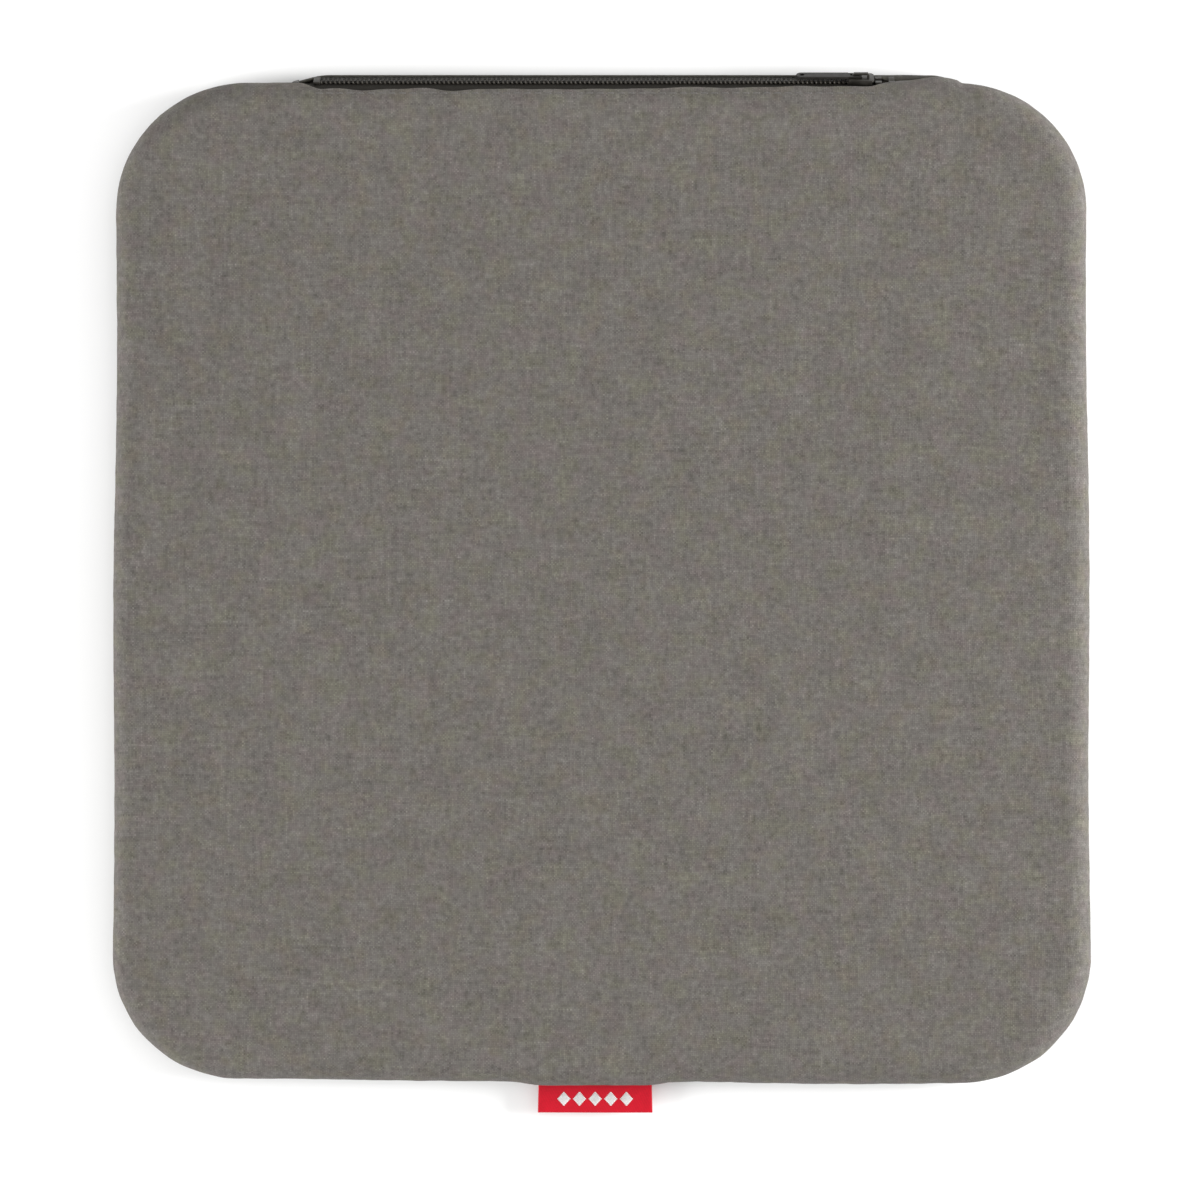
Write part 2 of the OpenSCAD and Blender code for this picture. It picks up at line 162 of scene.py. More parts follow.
def lofted(name, rings, cloths=None, cap_first=False, cap_last=False, closed=True, **kw):
    """Rings of points joined in turn; a cap is a fan to the ring's middle."""
    n = len(rings[0])
    verts, faces = np.concatenate(rings), ring_faces(len(rings), n, closed)
    cloth = np.concatenate(cloths) if cloths is not None else None
    for cap, ring, first in ((cap_first, 0, True), (cap_last, len(rings) - 1, False)):
        if cap:
            faces += fan(ring * n, n, len(verts), first)
            verts = np.vstack([verts, rings[ring].mean(0)])
            if cloth is not None:
                cloth = np.vstack([cloth, cloths[ring].mean(0)])
    return make(name, verts, faces, cloth=cloth, **kw)


def frames(path, hint, closed):
    """Unit vectors across and up at each point of a path; up is nearest to hint."""
    t = np.roll(path, -1, 0) - np.roll(path, 1, 0) if closed else np.gradient(path, axis=0)
    t /= np.linalg.norm(t, axis=1)[:, None]
    hint = np.broadcast_to(np.asarray(hint, float), path.shape)
    up = hint - t * (hint * t).sum(1)[:, None]
    up /= np.linalg.norm(up, axis=1)[:, None]
    return np.cross(t, up), up


def tube(path, hint, ra, rb, sides, closed=False):
    """Vertices and faces of a tube along path, oval: radius rb towards hint and ra across it."""
    across, up = frames(path, hint, closed)
    a = np.arange(sides) * 2 * math.pi / sides
    ra, rb = np.broadcast_to(ra, len(path)), np.broadcast_to(rb, len(path))
    wide, tall = (ra[:, None] * np.cos(a))[..., None], (rb[:, None] * np.sin(a))[..., None]
    n, faces = len(path), []
    verts = (path[:, None] + across[:, None] * wide + up[:, None] * tall).reshape(-1, 3)
    for k in range(n if closed else n - 1):
        p, q = k * sides, (k + 1) % n * sides
        faces += [[p + i, p + (i + 1) % sides, q + (i + 1) % sides, q + i] for i in range(sides)]
    if not closed:
        for start, end in ((0, path[0]), ((n - 1) * sides, path[-1])):
            faces += fan(start, sides, len(verts), start == 0)
            verts = np.vstack([verts, end])
    return verts, faces


def join(pieces):
    """One mesh from several."""
    verts, faces, n = [], [], 0
    for v, f in pieces:
        verts.append(v)
        faces += [[i + n for i in face] for face in f]
        n += len(v)
    return np.concatenate(verts), faces


def at_zip(x, y, z):
    """Zip coordinates (along, towards the lower lip, out of the tapes) to the row frame, in millimetres."""
    x, y, z = np.broadcast_arrays(*(np.asarray(v, float) for v in (x, y, z)))
    return np.stack([x, ZIP_Y + y * DOWN[1] + z * OUT[1], ZIP_Z + y * DOWN[2] + z * OUT[2]], -1)


# ---- Plan outline of the mat ----

mid_x, mid_y = HALF_W - CORNER, HALF_D - CORNER
base, normal = [], []
for p, q, n, k in (((mid_x, -mid_y), (mid_x, mid_y), (1, 0), 150), ((mid_x, mid_y), None, 0, 44),
                   ((mid_x, mid_y), (-mid_x, mid_y), (0, 1), 300), ((-mid_x, mid_y), None, 90, 44),
                   ((-mid_x, mid_y), (-mid_x, -mid_y), (-1, 0), 150), ((-mid_x, -mid_y), None, 180, 44),
                   ((-mid_x, -mid_y), (mid_x, -mid_y), (0, -1), 220), ((mid_x, -mid_y), None, 270, 44)):
    t = np.arange(k)[:, None] / k
    if q is None:
        base.append(np.tile(p, (k, 1)))
        a = np.radians(n + 90 * t[:, 0])
        normal.append(np.stack([np.cos(a), np.sin(a)], 1))
    else:
        base.append(np.array(p) + (np.array(q) - np.array(p)) * t)
        normal.append(np.tile(n, (k, 1)))
base, normal = np.concatenate(base).astype(float), np.concatenate(normal).astype(float)
edge = base + normal * CORNER
step = np.linalg.norm(np.roll(edge, -1, 0) - edge, axis=1)
dist = np.concatenate([[0], np.cumsum(step)[:-1]])
GIRTH = step.sum()
on_back, on_front = normal[:, 1] > 0.9999, normal[:, 1] < -0.9999
x_back = np.where(on_back, base[:, 0], 1e6)
x_front = np.where(on_front, base[:, 0], 1e6)
corner_share = 1 - np.maximum(np.abs(normal[:, 0]), np.abs(normal[:, 1])) ** 8


def lip_at(x):
    """How far the lower lip stands out, from 0 to 1."""
    return smooth(-100, -85, x) * (1 - smooth(103, 116, x))


PUFF = 2.1  # how far the fold past the zip's end stands out


def puff_at(x):
    """The share of that fold, from 0 to 1."""
    return smooth(86, 109, x) * lip_at(x)


lip, puff = lip_at(x_back), puff_at(x_back)  # lip, puff, mouth and over_tag hold a share for each outline point
mouth = smooth(-98, -86, x_back) * (1 - smooth(83, 91, x_back))  # how far the lips are apart
over_tag = smooth(TAG_X - 25, TAG_X - 16, x_front) * (1 - smooth(TAG_X + 16, TAG_X + 25, x_front))


def warp(p):
    """The slight unevenness of a sewn cover, in plan."""
    x, y = p[..., 0], p[..., 1]
    out = np.array(p, float)
    out[..., 0] += x * -0.0055 * y / HALF_D
    front = np.clip(-y / HALF_D, 0, 1) ** 2
    out[..., 1] += -1.3 * front * smooth(-130, 110, x)
    side = np.clip((np.abs(x) / HALF_W - 0.8) / 0.2, 0, 1)
    out[..., 0] += side * 0.35 * np.sin(y / 23 + np.sign(x) * 1.3)
    out[..., 1] += front * 0.25 * np.sin(x / 19 + 0.7)
    return out


def place(off, z):
    """Ring at off millimetres outside the outline, at heights z."""
    p = base + normal * (CORNER + np.broadcast_to(off, len(base)))[:, None]
    return np.column_stack([p, np.broadcast_to(z, len(base))])


def shrunk(ring, shares):
    """Copies of a ring, drawn in towards the middle by each share."""
    return [np.column_stack([ring[:, :2] * share, ring[:, 2]]) for share in shares]


def flat(xy):
    """Places on the flat cloth, from their two coordinates."""
    return np.column_stack([xy, np.zeros(len(xy))])


# ---- Cloth simulation: how the filled cover settles ----

LAST_FRAME, MOST = 20, 1.1  # MOST caps the moves that are kept


def settle():
    """Simulates the cover as one closed cloth bag, held out by pressure and inner springs; returns places on it
    and their moves.
    """
    pick = slice(None, None, 6)
    rings = [r[pick] for r in shrunk(place(-14, 0.0), np.linspace(0.05, 1, 20))]
    for radius, turn, height in ((FOOT, np.linspace(-75, 0, 6), FOOT),
                                 (EDGE, np.linspace(0, 90, 8), HEIGHT - EDGE)):
        for a in np.radians(turn):
            rings.append(place(radius * (math.cos(a) - 1) - 0.4, height + radius * math.sin(a))[pick])
    rings += [r[pick] for r in shrunk(place(-14, HEIGHT), np.linspace(1, 0.05, 20))]
    bag = lofted("bag", rings, cap_first=True, cap_last=True, body=None)
    remesh = bag.modifiers.new("remesh", "REMESH")
    remesh.mode, remesh.voxel_size = "VOXEL", 0.0058
    shape = bpy.data.meshes.new_from_object(bag.evaluated_get(bpy.context.evaluated_depsgraph_get()))
    bag.modifiers.clear()
    bag.data = shape
    start = np.empty(len(shape.vertices) * 3)
    shape.vertices.foreach_get("co", start)
    start = start.reshape(-1, 3) * 1000
    outer = np.maximum(np.abs(start[:, 0]) / HALF_W, np.abs(start[:, 1]) / HALF_D) > 0.9
    rim = np.exp(-((start[:, 2] - 8) / 2.2) ** 2) * outer
    tight = waves2(51, 18, 70, 18)(start[:, 0], start[:, 1])
    for name, share in (("held", np.clip(rim * 1.4, 0, 1)), ("tight", np.clip(0.5 + 0.25 * tight, 0, 1))):
        group = bag.vertex_groups.new(name=name)
        for k, value in enumerate(share):
            group.add([k], float(value), "REPLACE")
    cloth = bag.modifiers.new("settle", "CLOTH")
    rules = cloth.settings
    rules.quality, rules.mass, rules.use_pressure, rules.uniform_pressure_force = 6, 0.2, True, 4.0
    rules.tension_stiffness, rules.compression_stiffness = 30, 20
    rules.shear_stiffness, rules.bending_stiffness = 12, 1.5
    rules.use_internal_springs, rules.internal_spring_max_length = True, 0.03
    rules.internal_tension_stiffness, rules.internal_compression_stiffness = 12, 12
    rules.vertex_group_mass, rules.pin_stiffness = "held", 4.0
    rules.vertex_group_shrink, rules.shrink_min, rules.shrink_max = "tight", -0.012, 0.02
    rules.effector_weights.gravity = 0
    scene = bpy.context.scene
    for k in range(1, LAST_FRAME + 1):
        scene.frame_set(k)
    still = bag.evaluated_get(bpy.context.evaluated_depsgraph_get()).to_mesh()
    end = np.empty(len(start) * 3)
    still.vertices.foreach_get("co", end)
    scene.frame_set(1)
    bpy.data.objects.remove(bag)
    return start, end.reshape(-1, 3) * 1000 - start


def settled(rings):
    """Moves ring points as the simulation did, less at the seam, the zip and the tag, and not at the foot."""
    if SETTLED is None:
        return rings
    tree, moves = SETTLED
    points = np.concatenate(rings)
    coarse = points[::3]
    found = [tree.find_n(p, 4) for p in coarse.tolist()]
    rows = np.array([[f[1] for f in near] for near in found])
    weight = 1 / (np.array([[f[2] for f in near] for near in found]) + 1.5)
    shift = (moves[rows] * weight[..., None]).sum(1) / weight.sum(1)[:, None]
    index = np.arange(len(points))
    shift = np.stack([np.interp(index, index[::3], shift[:, k]) for k in range(3)], 1)
    x, y, z = points.T
    free = 1 - 0.6 * np.exp(-((z - 7.5) / 3) ** 2)
    free *= 1 - smooth(HALF_D - 22, HALF_D - 9, y) * (1 - smooth(95, 120, np.abs(x)))
    free *= 1 - smooth(-HALF_D + 14, -HALF_D + 5, y) * (1 - smooth(20, 34, np.abs(x - TAG_X)))
    shift = MOST * np.tanh(1.5 * shift / MOST) * free[:, None]
    shift[:, 2] *= smooth(0.5, 5, z)
    return np.split(points + shift, len(rings))


def settle_field():
    """The simulated moves, smoothed over a few millimetres, with a tree to look them up."""
    start, moves = settle()
    smoothed = np.empty_like(moves)
    for k in range(0, len(start), 500):
        gap = ((start[k:k + 500, None] - start[None]) ** 2).sum(-1)
        weight = np.exp(-gap / (2 * 5.5 ** 2))
        smoothed[k:k + 500] = weight @ moves / weight.sum(1)[:, None]
    tree = KDTree(len(start))
    for k, p in enumerate(start.tolist()):
        tree.insert(p, k)
    tree.balance()
    return tree, smoothed


SETTLED = settle_field()

# ---- Top cover ----

# A turned-in edge: its radius, the cloth in each step of its turn, and how far it runs back inside.
ROLL, FOLD, BACK = 0.4, 0.21, 1.6


def turn_in(rings, cloths, off, z, angle, sense):
    """Adds the turned-in edge of a cover that ends at off and z, at an angle round its rolled lip."""
    steps = [(ROLL * math.sin(f), ROLL * (1 - math.cos(f)), FOLD) for f in (math.pi * k / 6 for k in range(1, 7))]
    for t, n, used in steps + [(-BACK, 2 * ROLL, BACK)]:
        t *= sense
        rings.append(place(off + t * np.sin(angle) - n * np.cos(angle), z - t * np.cos(angle) - n * np.sin(angle)))
        cloths.append(cloths[-1] + flat(normal * used))


swell = waves2(5, 28, 90, 14)
seam_waves, seam_fine = waves(11, GIRTH, 9, 22, 16), waves(12, GIRTH, 4.5, 9, 18)
extra = PUFF * puff + 1.1 * over_tag  # how far the top cover stands outside the outline
lip_y = (HALF_D - FOOT) + lip * (LIP_Y - (HALF_D - FOOT))
lip_r = FOOT + lip * (LIP_R - FOOT)
seam_a = np.arccos(np.clip((HALF_D + PUFF * puff - lip_y) / lip_r, -1, 1))
seam_z = lip_r * (1 + np.sin(seam_a))
lip_waves = waves(17, GIRTH, 11, 45, 14)
top_end = np.radians(50.5 - 11.5 * smooth(-25, 85, x_back) + 2.0 * lip_waves(dist)) * mouth
arc_len = EDGE * (math.pi / 2 - top_end)
wall = np.maximum(EDGE - seam_z - ROLL * (1 - 0.9 * np.sin(seam_a)), 0.02) * (1 - mouth)
rings, cloths = [], []
ROWS = 20
for k in range(ROWS + 1):
    a = (arc_len + wall) * k / ROWS
    th = math.pi / 2 - np.minimum(a, arc_len) / EDGE
    off = -EDGE + (EDGE + extra) * np.cos(th)
    z = HEIGHT - EDGE + EDGE * np.sin(th) - np.maximum(a - arc_len, 0)
    near = np.exp(-(arc_len + wall - a) / 3.5) * (1 - mouth)
    ripple = (0.07 * seam_waves(dist) + 0.04 * seam_fine(dist)) * near * (1 + 0.5 * corner_share)
    rings.append(place(off + ripple * np.cos(th), z + ripple * np.sin(th)))
    cloths.append(flat(base + normal * (CORNER - EDGE + a)[:, None]))
turn_in(rings, cloths, off + ripple, z, top_end, 1)
rings, cloths = rings[::-1], cloths[::-1]
for inset in np.linspace(9.5, 30, 13):
    rings.append(place(-inset, HEIGHT))
    cloths.append(place(-inset, 0.0))
inner = shrunk(place(-30, HEIGHT), np.linspace(1, 0.02, 34)[1:])
rings += inner
cloths += [flat(r[:, :2]) for r in inner]


def top_height(x, y):
    """Low swells and a slight crown, none at the edge."""
    inside = np.minimum(HALF_W - np.abs(x), HALF_D - np.abs(y))
    return 0.05 * swell(x, y) * smooth(2, 30, inside) + 0.35 * smooth(4, 60, inside)


rings = settled(rings)
for r in rings:
    r[:, 2] += np.where(r[:, 2] > HEIGHT - 1.5, top_height(r[:, 0], r[:, 1]), 0)
    r[:, :2] = warp(r[:, :2])
cover_top = lofted("cover_top", rings, [c * 0.001 for c in cloths], cap_last=True)
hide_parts("top_cover")
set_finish(cover_top, "cover_top_cloth")

# ---- Bottom cover ----

OPEN_END = math.radians(19.8)  # where the lower lip ends along the open zip
foot_end = seam_a + mouth * (OPEN_END - seam_a) - (1 - mouth) * ROLL / lip_r
rings = shrunk(place(-30, 0.0), np.linspace(1, 0.02, 22)[::-1])
rings += [place(-inset, 0.0) for inset in np.linspace(26, 14, 4)]
rings += [place(-12 + (lip_y - HALF_D + 12) * k / 4, 0.0) for k in range(4)]
cloths = [flat(r[:, :2]) for r in rings]
start = lip_y - HALF_D + CORNER
for k in range(ROWS + 1):
    a = -math.pi / 2 + (foot_end + math.pi / 2) * k / ROWS
    near = np.exp(-(foot_end - a) * lip_r / 2.5) * (1 - mouth)
    ripple = (0.06 * seam_waves(dist + 3) + 0.04 * seam_fine(dist)) * near * (1 + 0.5 * corner_share)
    off, z = lip_y - HALF_D + lip_r * np.cos(a) + ripple * np.cos(a), lip_r + lip_r * np.sin(a)
    rings.append(place(off, z))
    cloths.append(flat(base + normal * (start + (a + math.pi / 2) * lip_r)[:, None]))
turn_in(rings, cloths, off, z, foot_end, -1)
rings = settled(rings)
for r in rings:
    r[:, :2] = warp(r[:, :2])
    r[:, 2] = np.maximum(r[:, 2], 0)
cover_bottom = lofted("cover_bottom", rings[::-1], [c * 0.001 for c in cloths[::-1]], cap_last=True)
cover_bottom.data.flip_normals()
cover_top.data.flip_normals()
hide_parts("bottom_cover")
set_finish(cover_bottom, "cover_bottom_cloth")

# ---- Zip tapes ----


def tape(name, side):
    """A woven strip along the zip: round a lip's roll, straight to its edge, and back."""
    r, centre, run, first = ((UPPER_R, (HALF_D - EDGE, HEIGHT - EDGE), LIP_GAP - 1.0, 66) if side > 0 else
                             (LOWER_R, (LIP_Y, LIP_R), RUN - 1.0, -50))
    along = side * np.array([math.sin(LEAN), -math.cos(LEAN)])
    out = np.array([math.cos(LEAN), math.sin(LEAN)])
    rays = [np.array([math.cos(a), math.sin(a)]) for a in np.linspace(math.radians(first), LEAN, 12)]
    line = [(np.array(centre) + r * ray, ray) for ray in rays]
    line += [(centre + r * out + along * run * t, out) for t in np.linspace(0, 1, 9)[1:]]
    x = np.linspace(TAPE_X0 - 8.5, TAPE_X1 + 4, 270)  # past the CAD's ends, tucked under the lips
    bead = waves(21 + side, TAPE_X1 - TAPE_X0 + 13, 6, 30, 9)(x)
    tucked = 1 - smooth(TAPE_X0 - 8, TAPE_X0 - 3.5, x) * (1 - smooth(TAPE_X1 - 1, TAPE_X1 + 3.5, x))
    lengths = np.concatenate([[0], np.cumsum([np.linalg.norm(b[0] - a[0]) for a, b in zip(line, line[1:])])])
    inward = 2.7 * tucked if side > 0 else np.maximum(2.7 * tucked, 3.9 * (1 - lip_at(x)))
    rings, cloths = [], []
    last = len(line) - 1
    order = [(k, 1) for k in range(last + 1)] + [(last, 0)] + [(k, -1) for k in range(last, -1, -1)]
    for k, face in order:
        p, n = line[k]
        half = TAPE_T / 2 * (1.12 if k >= last - 1 else 0.95)
        q = p + n * half * face + (along * 0.12 if face == 0 else 0)
        wobble = 0.05 * bead * (k / last) ** 2
        rings.append(np.column_stack([x, q[0] + wobble * out[0] - inward, q[1] + wobble * out[1]]))
        across = np.full(len(x), lengths[k] + (0.2 if face < 0 else 0))
        cloths.append(np.column_stack([x, across, np.zeros(len(x))]) * 0.001)
    obj = lofted(name, rings, cloths, closed=False)
    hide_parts("zip_tape_upper" if side > 0 else "zip_tape_lower")
    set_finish(obj, "zip_tape")
    return obj


tape("tape_upper", 1).data.flip_normals()
tape("tape_lower", -1)

# ---- Zip coils, their cords and the thread that sews them on ----

PITCH, COIL_Z0, COIL_H, REACH, COIL_W = 1.4, 0.27, 1.06, 0.3, 2.0


def parted(x):
    """How far each coil has left the middle of the zip, inside the slider's mouth and past it."""
    return np.clip(0.6 * (x - SLIDER_X + 1.2), 0, 1.05)


def coil(side):
    """A coil, the two threads that sew it to its tape and the cord inside it; the coil parts behind the slider,
    and the threads and cord end just short of it.
    """
    shift = 0.25 if side > 0 else 0.25 + PITCH / 2
    turns = int((CHAIN_X1 - CHAIN_X0 - shift) / PITCH)
    steps = 20
    u = np.arange(turns * steps + 1) / steps
    turn, f = np.floor(u), u - np.floor(u)
    a = 2 * math.pi * f
    x = CHAIN_X0 + shift + PITCH * (turn + smooth(0.55, 0.98, f))
    y = -(COIL_W / 2 - REACH) + (COIL_W / 2 - 0.19) * np.sign(np.cos(a)) * np.abs(np.cos(a)) ** 0.8
    z = COIL_Z0 + COIL_H / 2 + (COIL_H / 2 - 0.18) * np.sign(np.sin(a)) * np.abs(np.sin(a)) ** 0.7
    path = at_zip(x, side * (y - parted(x)), z)
    head = smooth(-0.25, 0.25, y)
    verts, faces = tube(path, (1.0, 0, 0), 0.19, 0.27 + 0.06 * head, 8)
    obj = make("coil_up" if side > 0 else "coil_low", verts, faces)
    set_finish(obj, "zip_coil")
    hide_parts("coil_upper" if side > 0 else "coil_lower")
    x = np.arange(CHAIN_X0, SLIDER_X - 2, 0.35)
    thread = []
    for row in (-1, 1):
        lift = 0.1 * np.cos(2 * math.pi * (x - CHAIN_X0 - shift) / PITCH)
        path = at_zip(x, -side * (0.88 + 0.13 * row), COIL_Z0 + COIL_H + 0.03 + lift)
        thread.append(tube(path, OUT, 0.1, 0.07, 6))
    sewn = make("coil_sewing_upper" if side > 0 else "coil_sewing_lower", *join(thread))
    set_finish(sewn, "zip_thread")
    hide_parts("coil_thread_upper" if side > 0 else "coil_thread_lower")
    path = at_zip(x, -side * 0.7, COIL_Z0 + COIL_H / 2)
    filler = tube(path, OUT, 0.14, 0.14, 7)
    cord = make("coil_filler_upper" if side > 0 else "coil_filler_lower", *filler)
    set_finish(cord, "zip_thread")
    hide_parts("coil_cord_upper" if side > 0 else "coil_cord_lower")
    for piece in (obj, sewn, cord):
        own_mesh(piece)


coil(1)
coil(-1)

# ---- Stitches ----


def stitches(name, node, row, centre, radius, turn):
    """Short lengths of thread along x that dip into a rolled lip at both ends."""
    out = np.array([0, math.cos(turn), math.sin(turn)])
    t = np.linspace(-1, 1, 9)
    thick, pieces = 1 - 0.35 * t ** 6, []
    for x in row:
        middle = np.array([x, centre[0] + radius * out[1], centre[1] + radius * out[2]])
        path = middle + np.outer(t * 1.3, [1, 0, 0]) + np.outer(-0.35 * np.abs(t) ** 4, out)
        pieces.append(tube(path, out, 0.19 * thick, 0.19 * 0.85 * thick, 7))
    obj = make(name, *join(pieces))
    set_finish(obj, "topstitch")
    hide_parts(node)


row_x = np.arange(TAPE_X0 + 3.5, TAPE_X1 - 3, 3.2) + 1.15
stitches("stitching_upper", "topstitch_upper", row_x, (HALF_D - EDGE, HEIGHT - EDGE), EDGE + 0.06,
         LEAN + math.radians(31))
stitches("stitching_lower", "topstitch_lower", row_x[1:], (LIP_Y, LIP_R), LIP_R - 0.05, math.radians(-9))


def tack(name, node, x0, x1):
    """A bartack: close zigzag stitches over both lips where the opening ends."""
    t = np.linspace(0, 1, 113)
    x, zig = x0 + (x1 - x0) * t, np.abs((t * 14) % 2 - 1) * 2 - 1
    lip_x, bulge = lip_at(x), PUFF * puff_at(x)
    centre_y, r = (HALF_D - FOOT) + lip_x * (LIP_Y - HALF_D + FOOT), FOOT + lip_x * (LIP_R - FOOT)
    join_a = np.arccos(np.clip((HALF_D + bulge - centre_y) / r, -1, 1))
    out = 0.16 - 0.25 * np.abs(zig) ** 8
    up_a, down_a = np.radians(3 + 17 * np.maximum(zig, 0)), join_a + np.radians(4 + 38 * np.minimum(zig, 0))
    upper = np.stack([HALF_D - EDGE + (EDGE + bulge + out) * np.cos(up_a),
                      HEIGHT - EDGE + (EDGE + out) * np.sin(up_a)], -1)
    lower = np.stack([centre_y + (r + out) * np.cos(down_a), r + (r + out) * np.sin(down_a)], -1)
    share = smooth(-0.15, 0.15, zig)[:, None]
    path = np.column_stack([x, upper * share + lower * (1 - share)])
    obj = make(name, *tube(path, OUT, 0.14, 0.12, 7))
    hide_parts(node)
    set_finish(obj, "topstitch")


tack("tack_left", "bartack_left", TAPE_X0 - 3.8, TAPE_X0 - 2.1)
tack("tack_right", "bartack_right", TAPE_X1 - 1.8, TAPE_X1 - 0.1)

# ---- Threads and stitches inside the seam ----

s = np.arange(0, GIRTH, 3.0)
inside = np.column_stack([np.interp(s, dist, base[:, k] + normal[:, k] * (CORNER - 1.75)) for k in (0, 1)])
n_in = np.column_stack([np.interp(s, dist, normal[:, k]) for k in (0, 1)])
at_mouth = (np.abs(inside[:, 0]) < 96) & (inside[:, 1] > 140)
at_tag = (np.abs(inside[:, 0] - TAG_X) < 19) & (inside[:, 1] < -140)
clear = ~at_mouth & ~at_tag
path = []
for k in range(len(s)):
    for dz, dn in ((7.1, 0.75), (8.45, 0.0), (7.1, -0.75)):
        path.append([*(inside[k] + n_in[k] * dn), dz])
path, keep, pieces = np.array(path), np.repeat(clear, 3), []
path[:, :2] = warp(path[:, :2])
runs = np.split(np.arange(len(path)), np.where(np.diff(keep.astype(int)) != 0)[0] + 1)
for run in runs:
    if keep[run[0]] and len(run) > 3:
        pieces.append(tube(path[run], (0, 0, 1.0), 0.11, 0.11, 6))
overlock = make("overlock_thread", *join(pieces))
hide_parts("seam_overlock")
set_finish(overlock, "seam_thread")

seam_path = place(-2.75, 6.0)[::2]
seam_path[:, 2] += 0.22 * np.cos(2 * math.pi * np.arange(len(seam_path)) / 3)
seam_path[:, :2] = warp(seam_path[:, :2])
seam_path = seam_path[~((np.abs(seam_path[:, 0]) < 95) & (seam_path[:, 1] > 140))]
first = int(np.argmax(np.linalg.norm(np.diff(seam_path, axis=0), axis=1))) + 1
seam_path = np.roll(seam_path, -first, 0)
seam_line = make("seam_stitching", *tube(seam_path, (0, 0, 1.0), 0.15, 0.15, 6))
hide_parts("seam_thread")
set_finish(seam_line, "seam_thread")

# ---- Folded tag with a woven row of lozenges ----


def strip(name, x, profile, shape):
    """Cloth of width x along a folded profile; returns the object and the profile's length."""
    rings, cloths, run = [], [], 0.0
    for k, (a, b) in enumerate(profile):
        run += math.hypot(a - profile[k - 1][0], b - profile[k - 1][1]) if k else 0
        rings.append(shape(a, b))
        cloths.append(np.column_stack([x, np.full(len(x), run), np.zeros(len(x))]) * 0.001)
    return lofted(name, rings, cloths, closed=False), run


def tag_shape(x, y, up):
    """Place of the tag's cloth: it droops a little and lifts at one corner. up is above its middle plane."""
    out = np.clip((-HALF_D - y) / 9, 0, 1)
    side = (x - TAG_X) / TAG_W * 2
    z = TAG_Z + up - 0.25 * out ** 2 + 0.22 * out * np.sin(side * 2.1 + 0.6)
    return np.stack([x + 0.25 * out * side, y - 0.9 * smooth(0, 1, out), z], -1)


tip, root = TAG_Y0 - 0.9, TAG_Y1
x = np.linspace(TAG_X - TAG_W / 2, TAG_X + TAG_W / 2, 70)
profile = [(y, 0.31) for y in np.linspace(root, tip + 0.5, 26)]
profile += [(tip + 0.5 - 0.5 * math.sin(f), 0.31 * math.cos(f)) for f in np.linspace(0, math.pi, 9)[1:-1]]
profile += [(y, -0.31) for y in np.linspace(tip + 0.5, root, 26)]
tag, run = strip("tag_cloth", x, profile, lambda y, up: tag_shape(x, np.full(len(x), y), up))
solid = tag.modifiers.new("thickness", "SOLIDIFY")
solid.thickness, solid.offset = 0.00035, 0
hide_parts("front_tag")
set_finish(tag, "tag_satin")

bars = []
for k in range(5):
    cx = TAG_X + (k - 2) * 4.8
    for j in range(-5, 6):
        half = 1.95 * (1 - abs(j) / 5.6)
        xs = np.linspace(cx - half, cx + half, 9)
        t = (xs - cx) / half
        path = tag_shape(xs, np.full(9, -HALF_D - 5.6 + j * 0.34), 0.31 + 0.175 + 0.1 - 0.12 * t ** 6)
        bars.append(tube(path, (0, 0, 1.0), 0.19, 0.13, 7))
motif = make("tag_lozenges", *join(bars))
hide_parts("tag_motif")
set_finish(motif, "motif_thread")

# ---- Blank care label, folded, behind the zip ----

low, high = (1000 * np.array(v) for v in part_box("care_label"))
x = np.linspace(low[0], high[0], 40)
y_mid, half = (low[1] + high[1]) / 2, (high[1] - low[1]) / 2 - 0.1
profile = [(-half, z) for z in np.linspace(high[2], low[2] + 0.3, 16)]
profile += [(-half * math.cos(f), low[2] + 0.3 - 0.2 * math.sin(f)) for f in np.linspace(0, math.pi, 7)[1:-1]]
profile += [(half, z) for z in np.linspace(low[2] + 0.3, high[2], 16)]
label, run = strip("label_cloth", x, profile, lambda y, z: np.column_stack(
    [x, y_mid + y + 0.12 * np.sin(x / 5 + z / 4), np.full(len(x), z)]))
solid = label.modifiers.new("thickness", "SOLIDIFY")
solid.thickness, solid.offset = 0.00015, 0
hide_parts("care_label")
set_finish(label, "label_satin")

# ---- Insert: felt, foil, foam and felt in a liner bag ----

LAYER_LO, LAYER_HI, LINER_LO, LINER_HI = 1.25, 14.7, 0.9, 15.05
pick = np.arange(0, len(base), 3)


def inset_at(z, inset, lo, hi):
    """How far in a layer's side lies at height z, inside the cover's two rounded edges."""
    top, foot = EDGE - inset, FOOT - inset
    if z > hi - top:
        return inset + top - math.sqrt(max(top * top - (z - hi + top) ** 2, 0))
    if z < lo + foot:
        return inset + foot - math.sqrt(max(foot * foot - (lo + foot - z) ** 2, 0))
    return inset


SHARES = (0.97, 0.85, 0.6, 0.3, 0.05)  # rings that close a layer's flat faces


def slab_ring(inset, z, limit):
    """The outline inset, kept limit millimetres short along the zip."""
    p = (base + normal * (CORNER - inset))[pick]
    room = limit + 3 * (1 - smooth(-99, -91, p[:, 0]) * (1 - smooth(90, 98, p[:, 0])))
    p[:, 1] = np.minimum(p[:, 1], room)
    return np.column_stack([p, np.full(len(p), float(z))])


